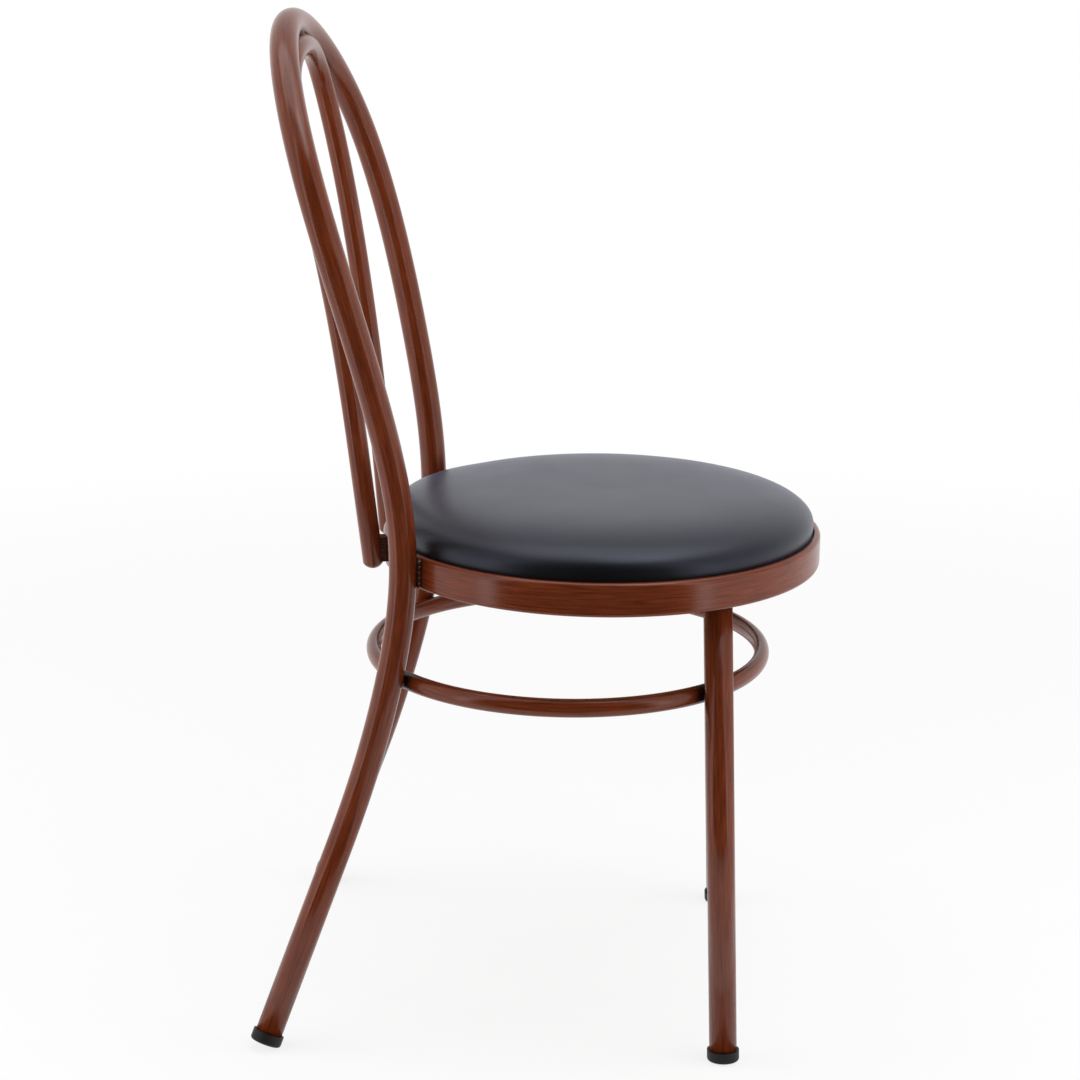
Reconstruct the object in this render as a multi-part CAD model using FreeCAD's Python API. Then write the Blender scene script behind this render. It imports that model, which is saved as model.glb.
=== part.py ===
"""Cabaret chair: bent steel tube frame, hairpin back, stretcher ring and a round padded seat.

Millimetres. +Z is up, the chair faces -Y, and X runs across it. The model is drawn around the
seat's axis and then moved so that the origin is on the floor, in the middle of its footprint.
"""
import FreeCAD
import Part

import math
import os

from FreeCAD import Vector

# Frame tubes
HOOP_DIAMETER = 25.0
HOOP_WALL = 1.5
PIN_DIAMETER = 19.0
PIN_WALL = 1.5
LEG_DIAMETER = 25.0
LEG_WALL = 1.5
RING_TUBE_WIDTH = 14.0
RING_TUBE_HEIGHT = 17.0
RING_WALL = 1.5

# Gap left at a welded contact, and the beads that close it
WELD_GAP = 0.3
RING_WELD_RADIUS = 6.5
UPRIGHT_WELD_RADIUS = 6.0
UPRIGHT_WELD_LENGTH = 26.0
TOP_WELD_RADIUS = 6.0

# Seat band, a rolled strip on edge
BAND_RADIUS = 203.2
BAND_THICKNESS = 6.0
BAND_HEIGHT = 30.5
BAND_BOTTOM = 423.3
BAND_OUTER_EDGE = 4.0
BAND_INNER_EDGE = 1.0
BAND_EDGE_LAND = 0.5

# Flat bars across the band that carry the seat
BAR_WIDTH = 30.0
BAR_THICKNESS = 4.0
BAR_RISE = 3.0
REAR_BAR_BACK = 108.5

# Front legs: where they meet the bar, and how far each foot stands out from its leg's top
LEG_TOP_ANGLE = 51.3
LEG_TOP_INSET = 11.2
FRONT_SPLAY_SIDE = 45.2
FRONT_SPLAY_FORWARD = 16.3

# Stretcher ring, set back from the seat's axis and hung below the band
RING_SETBACK = 30.3
RING_DROP = 88.7

# Hoop and rear legs, one bent tube. The waist is where it meets the band. Each bend has its half
# width, its distance behind the waist, and its rise above the waist or drop below the ring.
REAR_FOOT_HALF_SPREAD = 198.7
REAR_FOOT_BEHIND = 125.4
KNEE_HALF_WIDTH = 135.3
KNEE_BEHIND = 61.4
KNEE_DROP = 159.2
REAR_RING_ANGLE = 40.4
WAIST_HALF_WIDTH = 132.0
LOIN_HALF_WIDTH = 158.6
LOIN_BEHIND = 18.8
LOIN_RISE = 155.9
SHOULDER_HALF_WIDTH = 175.4
SHOULDER_BEHIND = 76.3
SHOULDER_RISE = 370.7
CREST_BEHIND = 111.9
CREST_RISE = 471.9

# Hairpin inside the hoop: half width of each bend, and its distance behind and above the foot
PIN_STANDOFF = 2.8
PIN_FOOT_HALF_WIDTH = 59.9
PIN_FOOT_RISE = 6.0
PIN_KNEE_HALF_WIDTH = 71.7
PIN_KNEE_BEHIND = 10.1
PIN_KNEE_RISE = 100.9
PIN_MIDDLE_HALF_WIDTH = 84.8
PIN_MIDDLE_BEHIND = 27.7
PIN_MIDDLE_RISE = 238.8
PIN_SPRING_HALF_WIDTH = 98.0
PIN_SPRING_BEHIND = 50.8
PIN_SPRING_RISE = 364.4
PIN_ARCH_FULLNESS = 0.84
PIN_ARCH_BACK = 2.6
PIN_CREST_TILT = 26.3
PLUG_DOME = 6.0
PLUG_STUB = 12.0
SPACER_WIDTH = 13.0
SPACER_HEIGHT = 23.0
SPACER_LIFT = 1.0

# Foot caps
FOOT_WALL = 2.0
FOOT_HEIGHT = 10.3
FOOT_SOLE = 4.0
FOOT_EDGE = 2.5
SOLE_TRIM = 1.5

# Seat: board, foam and cover
SEAT_SIDE_GAP = 1.4
COVER_THICKNESS = 1.2
COVER_TURN_IN = 32.0
BOARD_THICKNESS = 12.0
CROWN_RISE = 36.2
SHOULDER_START_INSET = 39.6
SHOULDER_START_RISE = 31.1
SHOULDER_MIDDLE_INSET = 15.0
SHOULDER_MIDDLE_RISE = 24.1
RIM_OVERHANG = 0.9
RIM_RISE = 7.5

# Fasteners under the seat
SCREW_HALF_SPACING = 92.0
SCREW_RADIUS = 2.1
SCREW_BITE = 9.0
SCREW_HEAD_RADIUS = 4.6
SCREW_HEAD_HEIGHT = 3.0
RECESS_WIDTH = 1.2
RECESS_LENGTH = 5.0
RECESS_DEPTH = 1.6
WASHER_RADIUS = 7.0
WASHER_THICKNESS = 1.2
HOLE_CLEARANCE = 0.4
STAPLE_COUNT = 24
STAPLE_INSET = 17.0
STAPLE_CROWN = 10.0
STAPLE_WIRE_WIDTH = 1.2
STAPLE_WIRE_THICKNESS = 0.6
STAPLE_LEG = 6.0

# Sliding fits: cap on tube and plug in tube
PUSH_FIT = 0.05

SIDES = {"left": -1.0, "right": 1.0}
UP = Vector(0, 0, 1)
DIAGONAL = math.sqrt(0.5)
TOLERANCE = 0.001
FLOOR_REACH = 1000.0

# Pairs of arcs that stand for each stretch of a bent tube between two of its stations
BEND_STEPS = 2

# Sizes that follow from the ones above
BAND_INSIDE = BAND_RADIUS - BAND_THICKNESS
BAND_TOP = BAND_BOTTOM + BAND_HEIGHT
BAR_BOTTOM = BAND_BOTTOM + BAR_RISE
BAR_TOP = BAR_BOTTOM + BAR_THICKNESS
BOARD_BOTTOM = BAR_TOP + COVER_THICKNESS
SEAT_RADIUS = BAND_INSIDE - SEAT_SIDE_GAP
BOARD_RADIUS = SEAT_RADIUS - COVER_THICKNESS
FOOT_RADIUS_EXTRA = FOOT_WALL + PUSH_FIT
RING_LEVEL = BAND_BOTTOM - RING_DROP
RING_CENTRE = Vector(0, RING_SETBACK, RING_LEVEL)


def mirrored(point, side):
    """Return the point on the given side, -1 for left and 1 for right."""
    return Vector(side * point.x, point.y, point.z)


def on_line(start, end, level):
    """Return the point of the line through start and end at the given level."""
    share = (level - start.z) / (end.z - start.z)
    return start + (end - start) * share


def leg_top(side):
    """Return the middle of a front leg's top, under the front bar."""
    reach = BAND_INSIDE - LEG_TOP_INSET - LEG_DIAMETER / 2
    angle = math.radians(LEG_TOP_ANGLE)
    return Vector(side * reach * math.sin(angle), -reach * math.cos(angle), BAR_BOTTOM)


def front_floor_point(side):
    """Return where a front leg's axis meets the floor."""
    top = leg_top(side)
    return Vector(top.x + side * FRONT_SPLAY_SIDE, top.y - FRONT_SPLAY_FORWARD, 0)


def waist(side):
    """Return the middle of the hoop's tube where it stands against the seat band."""
    reach = BAND_RADIUS + HOOP_DIAMETER / 2 + WELD_GAP
    back = math.sqrt(reach**2 - WAIST_HALF_WIDTH**2)
    return Vector(side * WAIST_HALF_WIDTH, back, BAND_BOTTOM + BAND_HEIGHT / 2)


def rear_floor_point(side):
    """Return where a rear leg's axis meets the floor."""
    return Vector(side * REAR_FOOT_HALF_SPREAD, waist(side).y + REAR_FOOT_BEHIND, 0)


def ring_radius():
    """Return the ring's radius, at its tube's middle, that puts it against the front legs."""
    leg = on_line(front_floor_point(1), leg_top(1), RING_LEVEL)
    return (leg - RING_CENTRE).Length - LEG_DIAMETER / 2 - RING_TUBE_WIDTH / 2 - WELD_GAP


def hoop_stations(side):
    """Return the bends of the hoop on one side, from the knee up to the shoulder."""
    angle = math.radians(REAR_RING_ANGLE)
    reach = ring_radius() + RING_TUBE_WIDTH / 2 + HOOP_DIAMETER / 2 + WELD_GAP
    middle = waist(1)
    stations = [
        Vector(KNEE_HALF_WIDTH, middle.y + KNEE_BEHIND, RING_LEVEL - KNEE_DROP),
        RING_CENTRE + Vector(math.sin(angle), math.cos(angle), 0) * reach,
        middle,
        Vector(LOIN_HALF_WIDTH, middle.y + LOIN_BEHIND, middle.z + LOIN_RISE),
        Vector(SHOULDER_HALF_WIDTH, middle.y + SHOULDER_BEHIND, middle.z + SHOULDER_RISE),
    ]
    return [mirrored(point, side) for point in stations]


def hoop_crest():
    """Return the middle of the hoop's top."""
    middle = waist(1)
    return Vector(0, middle.y + CREST_BEHIND, middle.z + CREST_RISE)


def pin_foot(side):
    """Return the lower end of the hairpin's tube on one side."""
    reach = BAND_RADIUS + PIN_STANDOFF + PIN_DIAMETER / 2
    back = math.sqrt(reach**2 - PIN_FOOT_HALF_WIDTH**2)
    return Vector(side * PIN_FOOT_HALF_WIDTH, back, BAND_BOTTOM + PIN_FOOT_RISE)


def pin_stations(side):
    """Return the hairpin's bends on one side, from its straight leg up into its round arch."""
    foot = pin_foot(1)
    spring = Vector(PIN_SPRING_HALF_WIDTH, foot.y + PIN_SPRING_BEHIND, foot.z + PIN_SPRING_RISE)
    rise = (pin_crest() - spring) * DIAGONAL
    stations = [
        Vector(PIN_KNEE_HALF_WIDTH, foot.y + PIN_KNEE_BEHIND, foot.z + PIN_KNEE_RISE),
        Vector(PIN_MIDDLE_HALF_WIDTH, foot.y + PIN_MIDDLE_BEHIND, foot.z + PIN_MIDDLE_RISE),
        spring,
        Vector(spring.x * PIN_ARCH_FULLNESS, spring.y + rise.y + PIN_ARCH_BACK, spring.z + rise.z),
    ]
    return [mirrored(point, side) for point in stations]


def crest_direction():
    """Return the direction from the hoop's top to the hairpin's top."""
    tilt = math.radians(PIN_CREST_TILT)
    return Vector(0, -math.sin(tilt), -math.cos(tilt))


def pin_crest():
    """Return the middle of the hairpin's top, which lies against the hoop's."""
    reach = (HOOP_DIAMETER + PIN_DIAMETER) / 2 + WELD_GAP
    return hoop_crest() + crest_direction() * reach


def tangent_arc(start, corner, end):
    """Return the arc from start to end that is tangent to the lines from both to the corner."""
    middle = (start + end) / 2
    rise = corner - middle
    half_chord = (end - start).Length / 2
    top = middle + rise * (half_chord / (half_chord + math.hypot(half_chord, rise.Length)))
    return Part.Arc(start, top, end).toShape()


def arc_pair(start, leave, end, arrive):
    """Return two arcs that join start to end, leaving and arriving along the unit directions."""
    span = end - start
    along = span.dot(leave + arrive)
    turn = 2 * (1 - leave.dot(arrive))
    reach = span.dot(span) / (along + math.sqrt(along**2 + turn * span.dot(span)))
    first_corner = start + leave * reach
    last_corner = end - arrive * reach
    middle = (first_corner + last_corner) / 2
    return [tangent_arc(start, first_corner, middle), tangent_arc(middle, last_corner, end)]


def guide_curve(points, leave, arrive):
    """Return the smooth curve through the points, and its parameter at each of them."""
    lengths = [0.0]
    for start, end in zip(points, points[1:]):
        lengths.append(lengths[-1] + (end - start).Length)
    curve = Part.BSplineCurve()
    curve.interpolate(
        Points=points,
        Parameters=lengths,
        InitialTangent=leave,
        FinalTangent=arrive,
        Scale=False,
    )
    return curve, lengths


def bent_path(ends, stations, crest):
    """Return a wire of two straight legs joined by tangent arcs that follow a smooth curve.

    ends and stations are functions of the side; the curve leaves each leg along its line.
    """
    left = stations(-1)
    right = stations(1)
    leave = (left[0] - ends(-1)).normalize()
    arrive = (ends(1) - right[0]).normalize()
    curve, lengths = guide_curve(left + [crest] + list(reversed(right)), leave, arrive)
    places = []
    for low, high in zip(lengths, lengths[1:]):
        places += [low + (high - low) * step / BEND_STEPS for step in range(BEND_STEPS)]
    places.append(lengths[-1])
    edges = [Part.makeLine(ends(-1), left[0])]
    for low, high in zip(places, places[1:]):
        start, heading = curve.getD1(low)
        end, next_heading = curve.getD1(high)
        edges += arc_pair(start, heading.normalize(), end, next_heading.normalize())
    edges.append(Part.makeLine(right[0], ends(1)))
    return Part.Wire(edges)


def swept(path, radius):
    """Return a solid round bar along the path."""
    start = path.Edges[0].Curve.value(path.Edges[0].FirstParameter)
    direction = path.Edges[0].tangentAt(path.Edges[0].FirstParameter)
    profile = Part.Wire(Part.makeCircle(radius, start, direction))
    shell = Part.BRepOffsetAPI.MakePipeShell(path)
    shell.add(profile)
    shell.build()
    shell.makeSolid()
    return shell.shape()


def rod(start, end, radius):
    """Return a solid cylinder from start to end."""
    return Part.makeCylinder(radius, (end - start).Length, start, end - start)


def turned(edges):
    """Return the solid made by turning a closed outline of edges around the Z axis."""
    face = Part.Face(Part.Wire(Part.__sortEdges__(edges)))
    return face.revolve(Vector(0, 0, 0), UP, 360)


def segment(start, end):
    """Return a straight edge between two (radius, level) pairs."""
    return Part.makeLine(Vector(start[0], 0, start[1]), Vector(end[0], 0, end[1]))


def arc(start, middle, end):
    """Return an arc edge through three (radius, level) pairs."""
    points = [Vector(pair[0], 0, pair[1]) for pair in (start, middle, end)]
    return Part.Arc(*points).toShape()


def dome(top, rim):
    """Return the arc of a spherical dome from its top, on the axis, to its (radius, level) rim."""
    rise = top[1] - rim[1]
    sphere_radius = (rim[0]**2 + rise**2) / (2 * abs(rise))
    half_angle = math.asin(rim[0] / sphere_radius) / 2
    drop = math.copysign(sphere_radius * (1 - math.cos(half_angle)), rise)
    return arc(top, (sphere_radius * math.sin(half_angle), top[1] - drop), rim)


def along_axis(shape, start, direction):
    """Place a shape drawn on the Z axis so that its axis runs from start along direction."""
    placed = shape.copy()
    placed.Placement = FreeCAD.Placement(start, FreeCAD.Rotation(UP, direction))
    return placed


def sole_centre(floor_point, direction, tube_diameter):
    """Return the middle of a cap's sole, which stands on its lowest edge, cut flat by the trim."""
    radius = tube_diameter / 2 + FOOT_RADIUS_EXTRA
    slope = math.sqrt(1 - direction.z**2)
    level = radius * slope - SOLE_TRIM
    return floor_point + direction * (level / direction.z)


def rear_leg_direction(side):
    """Return the direction of a rear leg, upwards."""
    return (hoop_stations(side)[0] - rear_floor_point(side)).normalize()


def front_leg_direction(side):
    """Return the direction of a front leg, upwards."""
    return (leg_top(side) - front_floor_point(side)).normalize()


def rear_tube_end(side):
    """Return the lower end of a rear leg's tube, inside its cap."""
    direction = rear_leg_direction(side)
    return sole_centre(rear_floor_point(side), direction, HOOP_DIAMETER) + direction * FOOT_SOLE


def front_tube_end(side):
    """Return the lower end of a front leg's tube, inside its cap."""
    direction = front_leg_direction(side)
    return sole_centre(front_floor_point(side), direction, LEG_DIAMETER) + direction * FOOT_SOLE


def hoop_path():
    """Return the middle line of the hoop and its two legs."""
    return bent_path(rear_tube_end, hoop_stations, hoop_crest())


def pin_path():
    """Return the middle line of the hairpin."""
    return bent_path(pin_foot, pin_stations, pin_crest())


def foot_cap(floor_point, direction, tube_diameter):
    """Return a cup-shaped cap, square to its leg, with its sole cut flat on the floor."""
    bore = tube_diameter / 2 + PUSH_FIT
    outside = bore + FOOT_WALL
    corner = (outside - FOOT_EDGE + FOOT_EDGE * DIAGONAL, FOOT_EDGE - FOOT_EDGE * DIAGONAL)
    outline = [
        segment((0, 0), (outside - FOOT_EDGE, 0)),
        arc((outside - FOOT_EDGE, 0), corner, (outside, FOOT_EDGE)),
        segment((outside, FOOT_EDGE), (outside, FOOT_HEIGHT)),
        segment((outside, FOOT_HEIGHT), (bore, FOOT_HEIGHT)),
        segment((bore, FOOT_HEIGHT), (bore, FOOT_SOLE)),
        segment((bore, FOOT_SOLE), (0, FOOT_SOLE)),
        segment((0, FOOT_SOLE), (0, 0)),
    ]
    sole = sole_centre(floor_point, direction, tube_diameter)
    cap = along_axis(turned(outline), sole, direction)
    corner_of_ground = Vector(-FLOOR_REACH, -FLOOR_REACH, -FLOOR_REACH)
    ground = Part.makeBox(2 * FLOOR_REACH, 2 * FLOOR_REACH, FLOOR_REACH, corner_of_ground)
    return cap.cut(ground)


def front_leg_bar(side):
    """Return a front leg as a solid bar, cut level at the front seat bar."""
    start = front_tube_end(side)
    direction = front_leg_direction(side)
    above = leg_top(side) + direction * LEG_DIAMETER
    corner = Vector(-FLOOR_REACH, -FLOOR_REACH, BAR_BOTTOM)
    over = Part.makeBox(2 * FLOOR_REACH, 2 * FLOOR_REACH, FLOOR_REACH, corner)
    return rod(start, above, LEG_DIAMETER / 2).cut(over)


def front_leg(side):
    """Return a front leg's tube."""
    direction = front_leg_direction(side)
    start = front_tube_end(side) - direction * LEG_DIAMETER
    end = leg_top(side) + direction * LEG_DIAMETER
    return front_leg_bar(side).cut(rod(start, end, LEG_DIAMETER / 2 - LEG_WALL))


def oval_ring(half_width, half_height):
    """Return a solid ring of oval section at the stretcher ring's place."""
    middle = Vector(ring_radius(), 0, 0)
    tall = half_height >= half_width
    long_end = middle + (UP * half_height if tall else Vector(half_width, 0, 0))
    short_end = middle + (Vector(half_width, 0, 0) if tall else UP * half_height)
    section = Part.Face(Part.Wire(Part.Ellipse(long_end, short_end, middle).toShape()))
    ring = section.revolve(Vector(0, 0, 0), UP, 360)
    ring.translate(RING_CENTRE)
    return ring


def stretcher_bar():
    """Return the stretcher ring as a solid bar."""
    return oval_ring(RING_TUBE_WIDTH / 2, RING_TUBE_HEIGHT / 2)


def stretcher_ring():
    """Return the stretcher ring's tube."""
    bore = oval_ring(RING_TUBE_WIDTH / 2 - RING_WALL, RING_TUBE_HEIGHT / 2 - RING_WALL)
    return stretcher_bar().cut(bore)


def band_disc(radius):
    """Return a solid disc of the band's height."""
    return Part.makeCylinder(radius, BAND_HEIGHT, Vector(0, 0, BAND_BOTTOM))


def rims(shape, radius):
    """Return the shape's circular edges of the given radius."""
    circles = [edge for edge in shape.Edges if isinstance(edge.Curve, Part.Circle)]
    return [edge for edge in circles if abs(edge.Curve.Radius - radius) < TOLERANCE]


def seat_band():
    """Return the rolled strip around the seat, with rounded edges."""
    band = band_disc(BAND_RADIUS).cut(band_disc(BAND_INSIDE))
    outer_edge = min(BAND_OUTER_EDGE, BAND_THICKNESS - BAND_INNER_EDGE - BAND_EDGE_LAND)
    band = band.makeFillet(outer_edge, rims(band, BAND_RADIUS))
    return band.makeFillet(BAND_INNER_EDGE, rims(band, BAND_INSIDE))


def screw_places():
    """Return the (x, y) places of the seat screws, two in each bar."""
    return [(side * SCREW_HALF_SPACING, middle) for middle in bar_middles() for side in SIDES.values()]


def bar_middles():
    """Return the set-back of the front and the rear bar's middle line."""
    return [leg_top(1).y, REAR_BAR_BACK]


def seat_bar(middle):
    """Return a flat bar across the band's inside, with clearance holes for the seat screws."""
    corner = Vector(-BAND_RADIUS, middle - BAR_WIDTH / 2, BAR_BOTTOM)
    bar = Part.makeBox(2 * BAND_RADIUS, BAR_WIDTH, BAR_THICKNESS, corner)
    inside = Part.makeCylinder(BAND_INSIDE, BAR_THICKNESS, Vector(0, 0, BAR_BOTTOM))
    bar = bar.common(inside)
    for x, y in screw_places():
        hole = Part.makeCylinder(SCREW_RADIUS + HOLE_CLEARANCE, BAR_THICKNESS, Vector(x, y, BAR_BOTTOM))
        bar = bar.cut(hole)
    return bar


def seat_outline(inset):
    """Return the seat's turned outline, drawn in by inset: crown, shoulder, side and flat bottom."""
    side = SEAT_RADIUS - inset
    bottom = BOARD_BOTTOM - COVER_THICKNESS + inset
    crown = BAND_TOP + CROWN_RISE - inset
    start = (SEAT_RADIUS - SHOULDER_START_INSET, BAND_TOP + SHOULDER_START_RISE - inset)
    drawn_in = inset * DIAGONAL
    middle_reach = SEAT_RADIUS - SHOULDER_MIDDLE_INSET - drawn_in
    middle = (middle_reach, BAND_TOP + SHOULDER_MIDDLE_RISE - drawn_in)
    rim = (side + RIM_OVERHANG, BAND_TOP + RIM_RISE)
    tuck = (side, BAND_TOP)
    bulge = (rim[0] + RIM_OVERHANG / 3, (rim[1] + tuck[1]) / 2)
    return [
        dome((0, crown), start),
        arc(start, middle, rim),
        arc(rim, bulge, tuck),
        segment(tuck, (side, bottom)),
        segment((side, bottom), (0, bottom)),
        segment((0, bottom), (0, crown)),
    ]


def seat_board():
    """Return the plywood disc with pilot holes for the screws."""
    board = Part.makeCylinder(BOARD_RADIUS, BOARD_THICKNESS, Vector(0, 0, BOARD_BOTTOM))
    for x, y in screw_places():
        board = board.cut(Part.makeCylinder(SCREW_RADIUS, SCREW_BITE, Vector(x, y, BOARD_BOTTOM)))
    return board.cut(staples())


def seat_foam():
    """Return the foam pad that fills the cover above the board."""
    board = Part.makeCylinder(BOARD_RADIUS, BOARD_THICKNESS, Vector(0, 0, BOARD_BOTTOM))
    return turned(seat_outline(COVER_THICKNESS)).cut(board)


def seat_cover():
    """Return the cover: a skin over the pad, turned in under the board."""
    opening = SEAT_RADIUS - COVER_TURN_IN
    skin = turned(seat_outline(0)).cut(turned(seat_outline(COVER_THICKNESS)))
    skin = skin.cut(Part.makeCylinder(opening, COVER_THICKNESS, Vector(0, 0, BAR_TOP)))
    return skin.cut(staples())


def staple():
    """Return one staple at the origin: a crown along X under the cover and two legs upwards."""
    crown = Part.makeBox(STAPLE_CROWN, STAPLE_WIRE_WIDTH, STAPLE_WIRE_THICKNESS,
                         Vector(-STAPLE_CROWN / 2, -STAPLE_WIRE_WIDTH / 2, -STAPLE_WIRE_THICKNESS))
    for start in (-STAPLE_CROWN / 2, STAPLE_CROWN / 2 - STAPLE_WIRE_THICKNESS):
        leg = Part.makeBox(STAPLE_WIRE_THICKNESS, STAPLE_WIRE_WIDTH, STAPLE_LEG,
                           Vector(start, -STAPLE_WIRE_WIDTH / 2, 0))
        crown = crown.fuse(leg)
    return crown.removeSplitter()


def staples():
    """Return the staples that hold the cover's turned-in edge, clear of the bars."""
    reach = SEAT_RADIUS - STAPLE_INSET
    placed = []
    for index in range(STAPLE_COUNT):
        angle = 360.0 * (index + 0.5) / STAPLE_COUNT
        across = reach * math.sin(math.radians(angle))
        clear = (BAR_WIDTH + STAPLE_CROWN) / 2 + STAPLE_WIRE_WIDTH
        if min(abs(across - middle) for middle in bar_middles()) < clear:
            continue
        one = staple()
        one.translate(Vector(0, reach, BAR_TOP))
        one.rotate(Vector(0, 0, 0), UP, angle - 90)
        placed.append(one)
    return Part.makeCompound(placed)


def screw():
    """Return one pan-head screw, head down, with its washer face at the origin."""
    length = WASHER_THICKNESS + BAR_THICKNESS + COVER_THICKNESS + SCREW_BITE
    outline = [
        segment((0, -SCREW_HEAD_HEIGHT), (0, length)),
        segment((0, length), (SCREW_RADIUS, length - SCREW_RADIUS)),
        segment((SCREW_RADIUS, length - SCREW_RADIUS), (SCREW_RADIUS, 0)),
        segment((SCREW_RADIUS, 0), (SCREW_HEAD_RADIUS, 0)),
        dome((0, -SCREW_HEAD_HEIGHT), (SCREW_HEAD_RADIUS, 0)),
    ]
    body = turned(outline)
    for length_x, length_y in ((RECESS_LENGTH, RECESS_WIDTH), (RECESS_WIDTH, RECESS_LENGTH)):
        corner = Vector(-length_x / 2, -length_y / 2, -SCREW_HEAD_HEIGHT)
        body = body.cut(Part.makeBox(length_x, length_y, RECESS_DEPTH, corner))
    return body


def washer():
    """Return one washer with its lower face at the origin."""
    disc = Part.makeCylinder(WASHER_RADIUS, WASHER_THICKNESS)
    return disc.cut(Part.makeCylinder(SCREW_RADIUS + HOLE_CLEARANCE, WASHER_THICKNESS))


def under_bars(make):
    """Return one copy of a fastener at each screw place, below the bars."""
    copies = []
    for x, y in screw_places():
        one = make()
        one.translate(Vector(x, y, BAR_BOTTOM - WASHER_THICKNESS))
        copies.append(one)
    return Part.makeCompound(copies)


def pin_plug(side):
    """Return the domed plug that closes one end of the hairpin."""
    radius = PIN_DIAMETER / 2
    stub = radius - PIN_WALL - PUSH_FIT
    outline = [
        segment((0, PLUG_STUB), (stub, PLUG_STUB)),
        segment((stub, PLUG_STUB), (stub, 0)),
        segment((stub, 0), (radius, 0)),
        dome((0, -PLUG_DOME), (radius, 0)),
        segment((0, -PLUG_DOME), (0, PLUG_STUB)),
    ]
    foot = pin_foot(side)
    return along_axis(turned(outline), foot, (pin_stations(side)[0] - foot).normalize())


def pin_spacer(side, pin_bar):
    """Return the block between the band and one leg of the hairpin."""
    foot = pin_foot(side)
    reach = math.hypot(foot.x, foot.y)
    corner = Vector(-SPACER_WIDTH / 2, 0, foot.z + SPACER_LIFT)
    block = Part.makeBox(SPACER_WIDTH, reach, SPACER_HEIGHT, corner)
    block.rotate(Vector(0, 0, 0), UP, math.degrees(math.atan2(-foot.x, foot.y)))
    block = block.cut(band_disc(BAND_RADIUS)).cut(pin_bar)
    return min(block.Solids, key=lambda solid: solid.CenterOfMass.Length)


def bead(seed, *neighbours):
    """Return a weld bead: the seed shape less the pieces that it joins."""
    for piece in neighbours:
        seed = seed.cut(piece)
    return max(seed.Solids, key=lambda solid: solid.Volume)


def ring_weld(leg_middle, leg_bar):
    """Return the bead between the ring and a leg whose middle is given at the ring's level."""
    outward = (leg_middle - RING_CENTRE).normalize()
    place = RING_CENTRE + outward * (ring_radius() + RING_TUBE_WIDTH / 2)
    return bead(Part.makeSphere(RING_WELD_RADIUS, place), stretcher_bar(), leg_bar)


def front_ring_weld(side):
    """Return the bead between the stretcher ring and a front leg."""
    middle = on_line(front_floor_point(side), leg_top(side), RING_LEVEL)
    return ring_weld(middle, front_leg_bar(side))


def upright_weld(side, hoop_bar):
    """Return the upright bead between the seat band and one side of the hoop."""
    middle = waist(side)
    outward = Vector(middle.x, middle.y, 0).normalize()
    place = outward * BAND_RADIUS + UP * (middle.z - UPRIGHT_WELD_LENGTH / 2)
    seed = Part.makeCylinder(UPRIGHT_WELD_RADIUS, UPRIGHT_WELD_LENGTH, place)
    return bead(seed, band_disc(BAND_RADIUS), hoop_bar)


def top_weld(hoop_bar, pin_bar):
    """Return the bead between the tops of the hoop and the hairpin."""
    place = hoop_crest() + crest_direction() * (HOOP_DIAMETER / 2)
    return bead(Part.makeSphere(TOP_WELD_RADIUS, place), hoop_bar, pin_bar)


def chair():
    """Return every piece of the chair by name, around the seat's axis."""
    hoop_bar = swept(hoop_path(), HOOP_DIAMETER / 2)
    pin_bar = swept(pin_path(), PIN_DIAMETER / 2)
    front_bar, rear_bar = bar_middles()
    pieces = {
        "back_hoop": hoop_bar.cut(swept(hoop_path(), HOOP_DIAMETER / 2 - HOOP_WALL)),
        "hairpin": pin_bar.cut(swept(pin_path(), PIN_DIAMETER / 2 - PIN_WALL)),
        "stretcher_ring": stretcher_ring(),
        "seat_band": seat_band(),
        "front_seat_bar": seat_bar(front_bar),
        "rear_seat_bar": seat_bar(rear_bar),
        "seat_board": seat_board(),
        "seat_foam": seat_foam(),
        "seat_cover": seat_cover(),
        "seat_screws": under_bars(screw),
        "seat_washers": under_bars(washer),
        "cover_staples": staples(),
        "top_weld": top_weld(hoop_bar, pin_bar),
    }
    for name, side in SIDES.items():
        rear_direction = rear_leg_direction(side)
        front_direction = front_leg_direction(side)
        pieces["front_leg_" + name] = front_leg(side)
        pieces["front_foot_" + name] = foot_cap(front_floor_point(side), front_direction, LEG_DIAMETER)
        pieces["rear_foot_" + name] = foot_cap(rear_floor_point(side), rear_direction, HOOP_DIAMETER)
        pieces["hairpin_plug_" + name] = pin_plug(side)
        pieces["hairpin_spacer_" + name] = pin_spacer(side, pin_bar)
        pieces["front_ring_weld_" + name] = front_ring_weld(side)
        pieces["rear_ring_weld_" + name] = ring_weld(hoop_stations(side)[1], hoop_bar)
        pieces["upright_weld_" + name] = upright_weld(side, hoop_bar)
    return pieces


def footprint_shift(pieces):
    """Return the move that puts the origin on the floor in the middle of the footprint."""
    front = -BAND_RADIUS
    rear = pieces["rear_foot_right"].optimalBoundingBox().YMax
    return Vector(0, -(front + rear) / 2, 0)


def main():
    """Write one STEP file for each piece."""
    os.makedirs("parts", exist_ok=True)
    pieces = chair()
    shift = footprint_shift(pieces)
    for name, shape in pieces.items():
        shape.translate(shift)
        shape.exportStep("parts/" + name + ".step")
        state = "valid" if shape.isValid() else "not valid"
        print(name, len(shape.Solids), "solids", round(shape.Volume), "mm3", state)


main()
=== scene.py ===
"""Cabaret chair: its bent tube back, legs, stretcher ring and round padded seat, dressed for show.

Metres. +Z is up, the chair faces -Y, and X runs across it. The origin is on the floor, in the middle
of the footprint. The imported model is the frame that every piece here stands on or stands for.
"""

import logging
import math
from dataclasses import dataclass
from enum import Enum

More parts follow.
